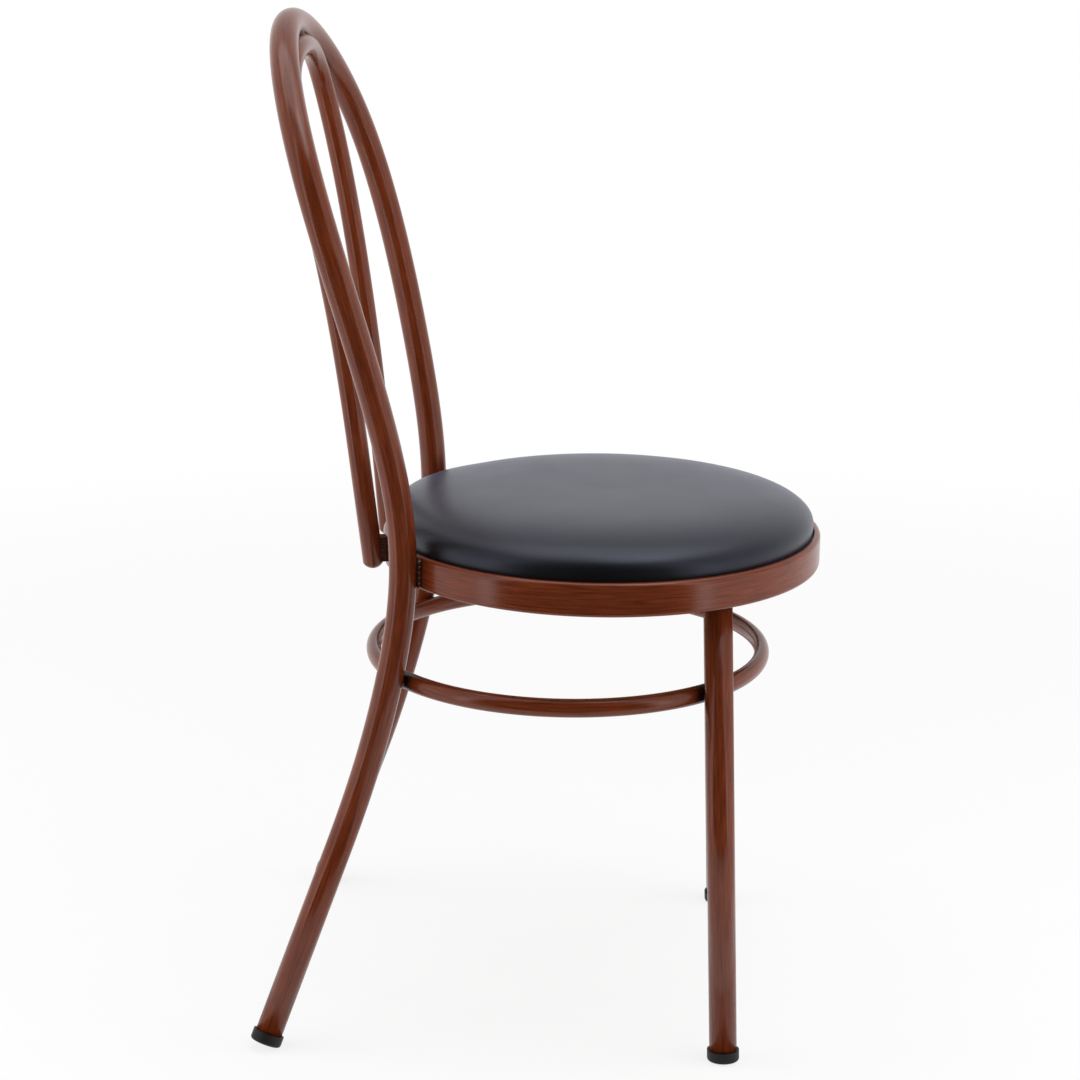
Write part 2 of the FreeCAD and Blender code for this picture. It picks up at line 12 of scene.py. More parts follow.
import bmesh
import bpy
import numpy as np
from mathutils import Matrix, Vector
from mathutils.kdtree import KDTree


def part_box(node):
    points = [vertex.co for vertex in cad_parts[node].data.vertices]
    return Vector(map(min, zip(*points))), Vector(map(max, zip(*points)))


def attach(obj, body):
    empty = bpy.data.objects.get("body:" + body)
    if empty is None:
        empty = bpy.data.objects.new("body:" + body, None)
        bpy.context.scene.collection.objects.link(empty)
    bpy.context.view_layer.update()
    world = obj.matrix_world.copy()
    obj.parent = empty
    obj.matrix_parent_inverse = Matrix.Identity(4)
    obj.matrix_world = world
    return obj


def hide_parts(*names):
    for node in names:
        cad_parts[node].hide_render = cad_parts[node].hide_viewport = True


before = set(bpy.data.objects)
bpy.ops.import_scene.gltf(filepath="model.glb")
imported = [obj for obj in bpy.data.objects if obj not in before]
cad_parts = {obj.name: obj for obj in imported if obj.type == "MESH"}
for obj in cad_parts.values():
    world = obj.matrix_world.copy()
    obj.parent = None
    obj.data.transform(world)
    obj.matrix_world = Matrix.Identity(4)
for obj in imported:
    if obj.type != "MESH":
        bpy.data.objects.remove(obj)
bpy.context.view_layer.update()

BODY = "root"
GRAIN = "grain"
NOISE_MIDDLE = 0.5
WHITE = (1.0, 1.0, 1.0, 1.0)
Triple = tuple[float, float, float]
Colour = Triple
Place = Triple
LOG = logging.getLogger("chair")
MERGE_REACH = 0.00001
TINY = 1e-9


class Side(Enum):
    """The two sides of the chair, with the sign of X on each."""

    LEFT = -1.0
    RIGHT = 1.0

    @property
    def word(self) -> str:
        """The side's word in the name of a piece."""
        return self.name.lower()


class Slot(Enum):
    """The record's material slots of the pieces that are made here."""

    FRAME = "frame_finish"
    VINYL = "seat_vinyl"


class GrainRun(Enum):
    """How the wood grain of the paint lies on a piece."""

    ALONG_TUBE = "along"
    AROUND_AXIS = "around"
    ACROSS_BAR = "across"


class Signal:
    """One output of a node, on which Python arithmetic adds Math nodes."""

    def __init__(self, recipe: "Recipe", socket: bpy.types.NodeSocket) -> None:
        """Keep the recipe that the socket belongs to, and the socket."""
        self.recipe = recipe
        self.socket = socket

    def other(self, output: str) -> "Signal":
        """Return another output of the same node."""
        return Signal(self.recipe, self.socket.node.outputs[output])

    def math(self, operation: str, *values: "Signal | float", clamp: bool = False) -> "Signal":
        """Add a Math node.

        Args:
            operation: The Math node's operation.
            values: Its inputs in order.
            clamp: Whether the result is kept between 0 and 1.

        Returns:
            The node's output.
        """
        sockets = dict(zip(("Value", "Value_001", "Value_002"), values))
        return self.recipe.add("ShaderNodeMath", {"operation": operation, "use_clamp": clamp}, sockets)

    def __add__(self, other: "Signal | float") -> "Signal":
        """Add."""
        return self.math("ADD", self, other)

    def __radd__(self, other: float) -> "Signal":
        """Add to a number."""
        return self.math("ADD", other, self)

    def __sub__(self, other: "Signal | float") -> "Signal":
        """Subtract."""
        return self.math("SUBTRACT", self, other)

    def __rsub__(self, other: float) -> "Signal":
        """Subtract from a number."""
        return self.math("SUBTRACT", other, self)

    def __mul__(self, other: "Signal | float") -> "Signal":
        """Multiply."""
        return self.math("MULTIPLY", self, other)

    def __rmul__(self, other: float) -> "Signal":
        """Multiply a number."""
        return self.math("MULTIPLY", other, self)

    def __pow__(self, other: "Signal | float") -> "Signal":
        """Raise to a power."""
        return self.math("POWER", self, other)

    def __rpow__(self, other: float) -> "Signal":
        """Raise a number to this power."""
        return self.math("POWER", other, self)

    def wave(self) -> "Signal":
        """Return the sine of the value."""
        return self.math("SINE", self)

    def limited(self) -> "Signal":
        """Return the value kept between 0 and 1."""
        return self.math("ADD", self, 0.0, clamp=True)

    def stretched(self, start: float, gain: float) -> "Signal":
        """Return how far the value is past a start, times a gain, kept between 0 and 1."""
        return ((self - start) * gain).limited()

    def around(self, middle: float, swing: float) -> "Signal":
        """Return a noise that varies around another middle."""
        return middle + (self - NOISE_MIDDLE) * swing


class Recipe:
    """The node tree of one finish, backdrop or sky."""

    def __init__(self, owner: bpy.types.ID) -> None:
        """Start an empty tree on a material or a world."""
        owner.use_nodes = True
        self.tree = owner.node_tree
        self.tree.nodes.clear()

    def add(self, kind: str, settings: dict | None = None, sockets: dict | None = None,
            output: str | int = 0) -> Signal | None:
        """Add one node.

        Args:
            kind: The node's type.
            settings: Its own settings, which are set first.
            sockets: Values or signals of its inputs, by identifier.
            output: The output to return, by name or number.

        Returns:
            That output, or nothing from the node that ends a tree.
        """
        node = self.tree.nodes.new(kind)
        for key, value in (settings or {}).items():
            setattr(node, key, value)
        inputs = {socket.identifier: socket for socket in node.inputs}
        for key, value in (sockets or {}).items():
            if isinstance(value, Signal):
                self.tree.links.new(value.socket, inputs[key])
            else:
                inputs[key].default_value = value
        return Signal(self, node.outputs[output]) if node.outputs else None

    def mix(self, factor: Signal | float, first: Signal | Colour, second: Signal | Colour) -> Signal:
        """Blend two colours.

        Args:
            factor: 0 for the first colour, 1 for the second.
            first: A colour.
            second: A colour.

        Returns:
            The blended colour.
        """
        ends = [end if isinstance(end, Signal) else (*end, 1.0) for end in (first, second)]
        sockets = {"Factor_Float": factor, "A_Color": ends[0], "B_Color": ends[1]}
        return self.add("ShaderNodeMix", {"data_type": "RGBA"}, sockets, "Result")

    def scaled(self, vector: Signal, scale: Triple) -> Signal:
        """Return a vector multiplied part by part."""
        sockets = {"Vector": vector, "Vector_001": scale}
        return self.add("ShaderNodeVectorMath", {"operation": "MULTIPLY"}, sockets)

    def place(self) -> Signal:
        """Return the place on the piece, in metres."""
        return self.add("ShaderNodeTexCoord", output="Object")

    def noise(self, vector: Signal, scale: float, detail: float, distortion: float = 0.0) -> Signal:
        """Add a noise.

        Args:
            vector: Where it is read.
            scale: Its waves per unit.
            detail: Its finer octaves.
            distortion: How far it is stirred.

        Returns:
            Its strength, about 0.5 in the middle.
        """
        sockets = {"Vector": vector, "Scale": scale, "Detail": detail, "Distortion": distortion}
        return self.add("ShaderNodeTexNoise", None, sockets)

    def bump(self, height: Signal, distance: float, strength: float) -> Signal:
        """Return a normal roughened by a height, whose full range is the distance."""
        sockets = {"Height": height, "Distance": distance, "Strength": strength}
        return self.add("ShaderNodeBump", None, sockets)

    def surface(self, sockets: dict) -> None:
        """End the tree in a Principled surface with these sockets."""
        shader = self.add("ShaderNodeBsdfPrincipled", None, sockets)
        self.add("ShaderNodeOutputMaterial", None, {"Surface": shader})


@dataclass(frozen=True)
class GrainPaint:
    """Brown paint with a printed wood grain, under a smooth clear gloss."""

    name: str
    run: GrainRun
    axis: tuple[float, float] = (0.0, 0.0)
    radius: float = 0.2
    deep: Colour = (0.096, 0.0155, 0.0037)
    warm: Colour = (0.195, 0.0378, 0.0095)
    streak: Colour = (0.052, 0.0088, 0.0026)
    width: float = 0.0024
    length: float = 0.036
    fine_rate: tuple[float, float] = (3.4, 1.6)
    drift_rate: tuple[float, float] = (0.25, 0.35)
    stir: float = 0.4
    body_range: tuple[float, float] = (0.28, 2.3)
    tone_range: tuple[float, float] = (0.35, 1.6)
    tone_share: float = 0.35
    fleck_range: tuple[float, float] = (0.56, 5.0)
    pores: float = 0.70
    pore_depth: float = 0.00004
    pore_strength: float = 0.35
    gloss: float = 0.21
    gloss_swing: float = 0.05
    ior: float = 1.42
    # Dark patches at the ring's welds: painted shade where the legs meet the ring, with weld scorch.
    scorch_and_shade_places: tuple[Place, ...] = ()
    scorch_and_shade_reach: float = 0.0205
    scorch_and_shade_edge: float = 3.0
    scorch_and_shade_share: float = 0.9
    scorch_and_shade_colour: Colour = (0.0075, 0.0040, 0.0030)

    def run_vector(self, recipe: Recipe) -> Signal:
        """Return a vector whose Z runs with the grain and whose X and Y run across it, in metres."""
        if self.run is GrainRun.ALONG_TUBE:
            return recipe.add("ShaderNodeAttribute", {"attribute_name": GRAIN}, output="Vector")
        place = recipe.add("ShaderNodeSeparateXYZ", None, {"Vector": recipe.place()})
        if self.run is GrainRun.ACROSS_BAR:
            parts = {"X": place.other("Y"), "Y": place.other("Z"), "Z": place}
            return recipe.add("ShaderNodeCombineXYZ", None, parts)
        x = place - self.axis[0]
        y = place.other("Y") - self.axis[1]
        around = x.math("ARCTAN2", x, y * -1.0) * self.radius
        reach = (x * x + y * y) ** 0.5
        parts = {"X": reach, "Y": place.other("Z"), "Z": around}
        return recipe.add("ShaderNodeCombineXYZ", None, parts)

    def layer(self, recipe: Recipe, run: Signal, rate: tuple[float, float], detail: float,
              stir: float = 0.0) -> Signal:
        """Add one noise of the grain.

        Args:
            recipe: The finish's node tree.
            run: The grain's run.
            rate: How much finer it is than the broad grain, across the run and along it.
            detail: Its finer octaves.
            stir: How far it is stirred.

        Returns:
            Its strength.
        """
        across, along = rate[0] * (1.0 / self.width), rate[1] * (1.0 / self.length)
        return recipe.noise(recipe.scaled(run, (across, across, along)), 1.0, detail, stir)

    def scorched_and_shaded(self, recipe: Recipe, colour: Signal) -> Signal:
        """Darken the paint around each weld: painted shade where a leg meets the ring, with the weld's
        scorch.

        Args:
            recipe: The finish's node tree.
            colour: The colour of sound paint.

        Returns:
            The colour with a dark patch around each weld.
        """
        for weld in self.scorch_and_shade_places:
            away = recipe.add("ShaderNodeVectorMath", {"operation": "DISTANCE"},
                              {"Vector": recipe.place(), "Vector_001": weld}, "Value")
            # Mask of painted shade and scorch, strongest at the weld.
            scorch_and_shade_mask = ((1.0 - away * (1.0 / self.scorch_and_shade_reach)) * self.scorch_and_shade_edge).limited()
            colour = recipe.mix(scorch_and_shade_mask * self.scorch_and_shade_share, colour, self.scorch_and_shade_colour)
        return colour

    def material(self) -> bpy.types.Material:
        """Return the finish as a material."""
        material = bpy.data.materials.new(self.name)
        recipe = Recipe(material)
        run = self.run_vector(recipe)
        broad = self.layer(recipe, run, (1.0, 1.0), 3.0, self.stir)
        fine = self.layer(recipe, run, self.fine_rate, 2.0)
        drift = self.layer(recipe, run, self.drift_rate, 1.0)
        body = recipe.mix(broad.stretched(*self.body_range), self.deep, self.warm)
        toned = recipe.mix(drift.stretched(*self.tone_range) * self.tone_share, body, self.deep)
        flecks = fine.stretched(*self.fleck_range)
        colour = recipe.mix(flecks * self.pores, toned, self.streak)
        recipe.surface({
            "Base Color": self.scorched_and_shaded(recipe, colour),
            "Roughness": broad.around(self.gloss, self.gloss_swing),
            "IOR": self.ior,
            "Normal": recipe.bump(fine, self.pore_depth, self.pore_strength),
        })
        return material


@dataclass(frozen=True)
class SeatVinyl:
    """Black upholstery vinyl with a fine pressed grain and a satin face."""

    name: str = "seat_vinyl"
    black: Colour = (0.0045, 0.0045, 0.0050)
    grey: Colour = (0.0085, 0.0085, 0.0095)
    cells: float = 850.0
    crease_gain: float = 3.0
    crease_share: float = 0.6
    clouds: float = 26.0
    grain_depth: float = 0.00008
    grain_strength: float = 0.70
    gloss: float = 0.34
    gloss_swing: float = 0.08
    ior: float = 1.495
    glint: Colour = (0.71, 0.75, 1.0)
    sheen: float = 0.16
    sheen_gloss: float = 0.35
    bloom: Colour = (0.58, 0.66, 1.0)

    def material(self) -> bpy.types.Material:
        """Return the finish as a material."""
        material = bpy.data.materials.new(self.name)
        recipe = Recipe(material)
        place = recipe.place()
        cells = recipe.add("ShaderNodeTexVoronoi", {"feature": "DISTANCE_TO_EDGE"},
                           {"Vector": place, "Scale": self.cells})
        creases = (cells * self.crease_gain).limited()
        cloud = recipe.noise(place, self.clouds, 3.0)
        height = creases * self.crease_share + cloud * (1.0 - self.crease_share)
        recipe.surface({
            "Base Color": recipe.mix(cloud, self.black, self.grey),
            "Roughness": cloud.around(self.gloss, self.gloss_swing),
            "IOR": self.ior,
            "Specular Tint": (*self.glint, 1.0),
            "Sheen Weight": self.sheen,
            "Sheen Roughness": self.sheen_gloss,
            "Sheen Tint": (*self.bloom, 1.0),
            "Normal": recipe.bump(height, self.grain_depth, self.grain_strength),
        })
        return material


@dataclass(frozen=True)
class FootRubber:
    """Moulded black rubber, matt, with a little dust low down."""

    name: str = "foot_rubber"
    black: Colour = (0.0042, 0.0043, 0.0045)
    dusty: Colour = (0.0110, 0.0106, 0.0102)
    speckles: float = 900.0
    speckle_depth: float = 0.00006
    speckle_strength: float = 0.5
    scuffs: float = 140.0
    scuff_stir: float = 0.8
    dust_height: float = 0.00625
    dust_share: float = 0.5
    scuff_share: float = 0.8
    gloss: float = 0.55
    gloss_swing: float = 0.2
    ior: float = 1.40

    def material(self) -> bpy.types.Material:
        """Return the finish as a material."""
        material = bpy.data.materials.new(self.name)
        recipe = Recipe(material)
        place = recipe.place()
        level = recipe.add("ShaderNodeSeparateXYZ", None, {"Vector": place}).other("Z")
        speckle = recipe.noise(place, self.speckles, 3.0)
        scuff = recipe.noise(place, self.scuffs, 4.0, self.scuff_stir)
        low = (1.0 - level * (1.0 / self.dust_height)).limited()
        dust = (low * self.dust_share + (scuff - NOISE_MIDDLE) * self.scuff_share).limited()
        recipe.surface({
            "Base Color": recipe.mix(dust, self.black, self.dusty),
            "Roughness": scuff.around(self.gloss, self.gloss_swing),
            "IOR": self.ior,
            "Normal": recipe.bump(speckle, self.speckle_depth, self.speckle_strength),
        })
        return material


@dataclass(frozen=True)
class PlainSteel:
    """Zinc-plated steel of the screws, washers and staples."""

    name: str = "plain_steel"
    bright: Colour = (0.62, 0.62, 0.60)
    dull: Colour = (0.40, 0.40, 0.39)
    crystals: float = 700.0
    scratches: float = 420.0
    scratch_run: Triple = (1.0, 6.0, 1.0)
    scratch_depth: float = 0.00003
    scratch_strength: float = 0.5
    gloss: float = 0.26
    gloss_swing: float = 0.16

    def material(self) -> bpy.types.Material:
        """Return the finish as a material."""
        material = bpy.data.materials.new(self.name)
        recipe = Recipe(material)
        place = recipe.place()
        crystal = recipe.noise(place, self.crystals, 3.0)
        scratch = recipe.noise(recipe.scaled(place, self.scratch_run), self.scratches, 2.0)
        recipe.surface({
            "Base Color": recipe.mix(crystal, self.dull, self.bright),
            "Metallic": 1.0,
            "Roughness": self.gloss + crystal * self.gloss_swing,
            "Normal": recipe.bump(scratch, self.scratch_depth, self.scratch_strength),
        })
        return material


@dataclass(frozen=True)
class BarePlywood:
    """Unpainted plywood: face grain below, plies on the edge."""

    name: str = "seat_plywood"
    pale: Colour = (0.52, 0.36, 0.20)
    brown: Colour = (0.34, 0.20, 0.10)
    grain_rate: Triple = (12.0, 150.0, 12.0)
    grain_stir: float = 1.2
    grain_start: float = 0.3
    grain_gain: float = 1.6
    fibre_rate: Triple = (40.0, 900.0, 40.0)
    fibre_share: float = 0.5
    fibre_depth: float = 0.00015
    fibre_strength: float = 0.5
    ply_rate: float = 2600.0
    ply_share: float = 0.075
    gloss: float = 0.62
    gloss_swing: float = 0.15

    def material(self) -> bpy.types.Material:
        """Return the finish as a material."""
        material = bpy.data.materials.new(self.name)
        recipe = Recipe(material)
        place = recipe.place()
        grain = recipe.noise(recipe.scaled(place, self.grain_rate), 1.0, 4.0, self.grain_stir)
        fibre = recipe.noise(recipe.scaled(place, self.fibre_rate), 1.0, 2.0)
        level = recipe.add("ShaderNodeSeparateXYZ", None, {"Vector": place}).other("Z")
        plies = (level * self.ply_rate).wave() * 0.5 + 0.5
        shade = ((grain - self.grain_start) * self.grain_gain + (fibre - NOISE_MIDDLE) * self.fibre_share
                 + plies * self.ply_share).limited()
        recipe.surface({
            "Base Color": recipe.mix(shade, self.pale, self.brown),
            "Roughness": self.gloss + fibre * self.gloss_swing,
            "Normal": recipe.bump(fibre, self.fibre_depth, self.fibre_strength),
        })
        return material


@dataclass(frozen=True)
class ShadedWeldPaint:
    """The frame's brown paint over a rippled weld bead, darker than the tubes' paint: painted shade of the
    crevice the bead lies in, over the bead's own lumpy tone.
    """

    name: str = "shaded_weld_paint"
    deep: Colour = (0.012, 0.0046, 0.0030)
    warm: Colour = (0.075, 0.0180, 0.0075)
    lump_rate: float = 330.0
    lump_stir: float = 0.6
    ripple_rate: float = 130.0
    ripple_stir: float = 2.5
    ripple_share: float = 0.6
    bead_depth: float = 0.0006
    bead_strength: float = 0.8
    gloss: float = 0.20
    gloss_swing: float = 0.2
    ior: float = 1.5

    def material(self) -> bpy.types.Material:
        """Return the finish as a material."""
        material = bpy.data.materials.new(self.name)
        recipe = Recipe(material)
        place = recipe.place()
        lumps = recipe.noise(place, self.lump_rate, 2.0, self.lump_stir)
        ripple = recipe.add("ShaderNodeTexWave", {"wave_type": "BANDS", "bands_direction": "Z"},
                            {"Vector": place, "Scale": self.ripple_rate,
                             "Distortion": self.ripple_stir}, "Fac")
        height = ripple * self.ripple_share + lumps * (1.0 - self.ripple_share)
        recipe.surface({
            # The dark browns are painted shade of the weld crevice; the lumps vary the tone.
            "Base Color": recipe.mix(lumps, self.deep, self.warm),
            "Roughness": lumps.around(self.gloss, self.gloss_swing),
            "IOR": self.ior,
            "Normal": recipe.bump(height, self.bead_depth, self.bead_strength),
        })
        return material


def make_piece(name: str, mesh: bmesh.types.BMesh, material: bpy.types.Material, slot: Slot,
               *nodes: str) -> bpy.types.Object:
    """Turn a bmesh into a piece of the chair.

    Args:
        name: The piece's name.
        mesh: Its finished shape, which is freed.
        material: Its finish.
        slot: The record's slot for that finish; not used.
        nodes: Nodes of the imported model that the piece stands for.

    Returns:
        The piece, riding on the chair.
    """
    data = bpy.data.meshes.new(name)
    mesh.to_mesh(data)
    mesh.free()
    data.materials.append(material)
    piece = bpy.data.objects.new(name, data)
    bpy.context.scene.collection.objects.link(piece)
    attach(piece, BODY)
    if nodes:
        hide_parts(*nodes)
    LOG.info("%s: %d faces", name, len(data.polygons))
    return piece


def dress_nodes(material: bpy.types.Material, *nodes: str) -> None:
    """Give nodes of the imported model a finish.

    Args:
        material: The finish.
        nodes: Names of the nodes.
    """
    for name in nodes:
        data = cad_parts[name].data
        data.materials.clear()
        data.materials.append(material)
        LOG.info("%s: %s", name, material.name)


def turned(outline: list[tuple[float, float]], centre: tuple[float, float],
           steps: int) -> bmesh.types.BMesh:
    """Turn an outline around an upright axis.

    Args:
        outline: (radius, level) pairs.
        centre: X and Y of the axis.
        steps: How many steps the turn has.

    Returns:
        The closed shape, its faces outwards.
    """
    mesh = bmesh.new()
    verts = [mesh.verts.new((centre[0] + reach, centre[1], level)) for reach, level in outline]
    edges = [mesh.edges.new(pair) for pair in zip(verts, verts[1:])]
    bmesh.ops.spin(mesh, geom=verts + edges, cent=(*centre, 0), axis=(0, 0, 1), angle=2 * math.pi,
                   steps=steps, use_merge=True)
    bmesh.ops.remove_doubles(mesh, verts=mesh.verts, dist=MERGE_REACH)
    bmesh.ops.recalc_face_normals(mesh, faces=mesh.faces)
    for face in mesh.faces:
        face.smooth = True
    return mesh


@dataclass
class BentTube:
    """A round tube with two straight legs joined by a smooth bend through its stations.

    The stations are for the right side, from the end of the straight leg up; the left mirrors them.
    """

    name: str
    radius: float
    end: Vector
    stations: list[Vector]
    crest: Vector
    dome: float = 0.0
    dome_shares: tuple[float, ...] = (0.04, 0.2, 0.36, 0.52, 0.68, 0.84)
    sides: int = 48
    step: float = 0.004

    @staticmethod
    def mirrored(point: Vector) -> Vector:
        """Return the point's twin on the left side."""
        return Vector((-point.x, point.y, point.z))

    def bend(self) -> tuple[np.ndarray, np.ndarray, np.ndarray]:
        """Solve the smooth bend, which leaves each leg along its line.

        Returns:
            The bend's points from left to right, its slopes there, and the lengths of its spans.
        """
        left = [self.mirrored(point) for point in self.stations]
        points = np.array([*left, self.crest, *reversed(self.stations)])
        spans = np.linalg.norm(np.diff(points, axis=0), axis=1)
        leave = (left[0] - self.mirrored(self.end)).normalized()
        arrive = (self.end - self.stations[0]).normalized()
        count = len(points)
        system = np.zeros((count, count))
        wanted = np.zeros((count, 3))
        system[0, 0] = system[-1, -1] = 1.0
        wanted[0], wanted[-1] = leave, arrive
        for i in range(1, count - 1):
            before, after = spans[i - 1], spans[i]
            system[i, i - 1:i + 2] = 1 / before, 2 / before + 2 / after, 1 / after
            wanted[i] = 3 * ((points[i] - points[i - 1]) / before**2
                             + (points[i + 1] - points[i]) / after**2)
        return points, np.linalg.solve(system, wanted), spans

    def centre_line(self) -> list[Vector]:
        """Return points along the tube's middle line from the left end to the right end."""
        points, slopes, spans = self.bend()
        line = [self.mirrored(self.end)]
        for i, span in enumerate(spans):
            count = round(span / self.step)
            for share in np.arange(count) / count:
                square, cube = share**2, share**3
                line.append(Vector(
                    (2 * cube - 3 * square + 1) * points[i] + (3 * square - 2 * cube) * points[i + 1]
                    + span * ((cube - 2 * square + share) * slopes[i] + (cube - square) * slopes[i + 1])))
        return line + [self.stations[0].copy(), self.end.copy()]

    def dome_steps(self) -> list[tuple[float, float]]:
        """Return (set-back, share of the radius) pairs of a domed end, from its tip to the tube."""
        if not self.dome:
            return []
        sphere = (self.radius**2 + self.dome**2) / (2 * self.dome)
        half = math.asin(min(1.0, self.radius / sphere))
        angles = [half * share for share in self.dome_shares]
        return [(self.dome - sphere * (1 - math.cos(angle)), sphere * math.sin(angle) / self.radius)
                for angle in angles]

    def sections(self) -> list[tuple[Matrix, float]]:
        """Return the place of each cross-section and the length of tube up to it."""
        line = self.centre_line()
        ways = [(after - before).normalized() for before, after in zip(line, line[1:])]
        ways = [ways[0]] + [(a + b).normalized() for a, b in zip(ways, ways[1:])] + [ways[-1]]
        up = ways[0].orthogonal().normalized()
        places, length, last = [], 0.0, ways[0]
        for i, (point, way) in enumerate(zip(line, ways)):
            up = last.rotation_difference(way) @ up
            length += (point - line[i - 1]).length if i else 0.0
            turn = Matrix((way.cross(up) * -1.0, up, way)).transposed().to_4x4()
            places.append((Matrix.Translation(point) @ turn, length))
            last = way
        first, final = places[0], places[-1]
        steps = self.dome_steps()
        tip = [(first[0] @ Matrix.Translation((0, 0, -out)) @ Matrix.Diagonal((size, size, 1, 1)), -out)
               for out, size in steps]
        tail = [(final[0] @ Matrix.Translation((0, 0, out)) @ Matrix.Diagonal((size, size, 1, 1)),
                 final[1] + out) for out, size in reversed(steps)]
        return tip + places + tail

    def build(self, material: bpy.types.Material, *nodes: str) -> bpy.types.Object:
        """Sweep the tube.

        Args:
            material: Its finish.
            nodes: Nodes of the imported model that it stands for.

        Returns:
            The finished piece, with the grain's run kept as an attribute.
        """
        mesh = bmesh.new()
        grain = mesh.verts.layers.float_vector.new(GRAIN)
        sections = self.sections()
        place, length = sections[0]
        bmesh.ops.create_circle(mesh, cap_ends=True, radius=self.radius, segments=self.sides)
        for vert in mesh.verts:
            vert[grain] = (vert.co.x, vert.co.y, length)
        bmesh.ops.transform(mesh, matrix=place, verts=mesh.verts)
        edges = list(mesh.edges)
        for after, length in sections[1:]:
            grown = bmesh.ops.extrude_edge_only(mesh, edges=edges)["geom"]
            verts = [item for item in grown if isinstance(item, bmesh.types.BMVert)]
            fresh = set(verts)
            edges = [item for item in grown if isinstance(item, bmesh.types.BMEdge)
                     and fresh.issuperset(item.verts)]
            bmesh.ops.transform(mesh, matrix=after @ place.inverted(), verts=verts)
            for vert in verts:
                vert[grain] = (vert[grain][0], vert[grain][1], length)
            place = after
        bmesh.ops.contextual_create(mesh, geom=edges)
        bmesh.ops.recalc_face_normals(mesh, faces=mesh.faces)
        for face in mesh.faces:
            face.smooth = len(face.verts) == 4
        return make_piece(self.name, mesh, material, Slot.FRAME, *nodes)


@dataclass
class BackFrame:
    """The hoop with its rear legs, and the hairpin inside it."""

    seat_axis: float
    hoop_radius: float = 0.0125
    pin_radius: float = 0.0095
    plug_dome: float = 0.006
    rear_floor: Place = (0.1987, 0.29637, 0.0)
    rear_tube_start: float = 0.0098
    hoop_bends: tuple[Place, ...] = (
        (0.1353, 0.232374, 0.1754),
        (0.131722, 0.185075, 0.3346),
        (0.132, 0.170974, 0.43855),
        (0.1586, 0.189774, 0.59445),
        (0.1754, 0.247274, 0.80925),
    )
    hoop_top: Place = (0.0, 0.282874, 0.91045)
    pin_foot: Place = (0.0599, 0.207008, 0.4293)
    pin_bends: tuple[Place, ...] = (
        (0.0717, 0.217108, 0.5302),
        (0.0848, 0.234708, 0.6681),
        (0.0980, 0.257808, 0.7937),
        (0.08232, 0.271145, 0.862117),
    )
    pin_top: Place = (0.0, 0.272992, 0.890456)

    def at(self, place: Place) -> Vector:
        """Return a place, given from the seat's axis, in the chair's frame."""
        return Vector((place[0], place[1] + self.seat_axis, place[2]))

    def hoop(self) -> BentTube:
        """Return the hoop's tube, whose ends are inside the rear caps."""
        floor, knee = self.at(self.rear_floor), self.at(self.hoop_bends[0])
        end = floor + (knee - floor).normalized() * self.rear_tube_start
        bends = [self.at(place) for place in self.hoop_bends]
        return BentTube("back_hoop_tube", self.hoop_radius, end, bends, self.at(self.hoop_top))

    def hairpin(self) -> BentTube:
        """Return the hairpin's tube with its two domed ends."""
        bends = [self.at(place) for place in self.pin_bends]
        return BentTube("hairpin_tube", self.pin_radius, self.at(self.pin_foot), bends,
                        self.at(self.pin_top), self.plug_dome)

    def build(self, tube_paint: bpy.types.Material, shaded_weld_paint: bpy.types.Material) -> None:
        """Build both tubes and dress the spacers and the weld between them.

        Args:
            tube_paint: Finish of the tubes.
            shaded_weld_paint: Finish of the spacers and the weld.
        """
        self.hoop().build(tube_paint, "back_hoop")
        plugs = ["hairpin_plug_" + side.word for side in Side]
        self.hairpin().build(tube_paint, "hairpin", *plugs)
        dress_nodes(shaded_weld_paint, "top_weld", *("hairpin_spacer_" + side.word for side in Side))


@dataclass
class FrontLegs:
    """The two straight front legs."""

    seat_axis: float
    radius: float = 0.0125
    top: Place = (0.135405, -0.10848, 0.4263)
    floor: Place = (0.180605, -0.12478, 0.0)
    tube_start: float = 0.0042
    sides: int = 48

    def build(self, paint: bpy.types.Material) -> None:
        """Build one leg on each side, cut level under the seat bar.

        Args:
            paint: Finish of the legs.
        """
        for side in Side:
            top, floor = (Vector((side.value * x, y + self.seat_axis, z))
                          for x, y, z in (self.top, self.floor))
            way = (top - floor).normalized()
            start = floor + way * self.tube_start
            mesh = bmesh.new()
            grain = mesh.verts.layers.float_vector.new(GRAIN)
            length = (top - start).length + 2 * self.radius
            bmesh.ops.create_cone(mesh, cap_ends=True, segments=self.sides, radius1=self.radius,
                                  radius2=self.radius, depth=length,
                                  matrix=Matrix.Translation((0, 0, length / 2)))
            for vert in mesh.verts:
                vert[grain] = vert.co + Vector((0, 0, side.value))
            turn = Vector((0, 0, 1)).rotation_difference(way).to_matrix().to_4x4()
            bmesh.ops.transform(mesh, matrix=Matrix.Translation(start) @ turn, verts=mesh.verts)
            whole = mesh.verts[:] + mesh.edges[:] + mesh.faces[:]
            cut = bmesh.ops.bisect_plane(mesh, geom=whole, plane_co=top, plane_no=(0, 0, 1),
                                         clear_outer=True)
            rim = [item for item in cut["geom_cut"] if isinstance(item, bmesh.types.BMEdge)]
            bmesh.ops.contextual_create(mesh, geom=rim)
            bmesh.ops.recalc_face_normals(mesh, faces=mesh.faces)
            for face in mesh.faces:
                face.smooth = len(face.verts) == 4
            make_piece("front_leg_tube_" + side.word, mesh, paint, Slot.FRAME, "front_leg_" + side.word)


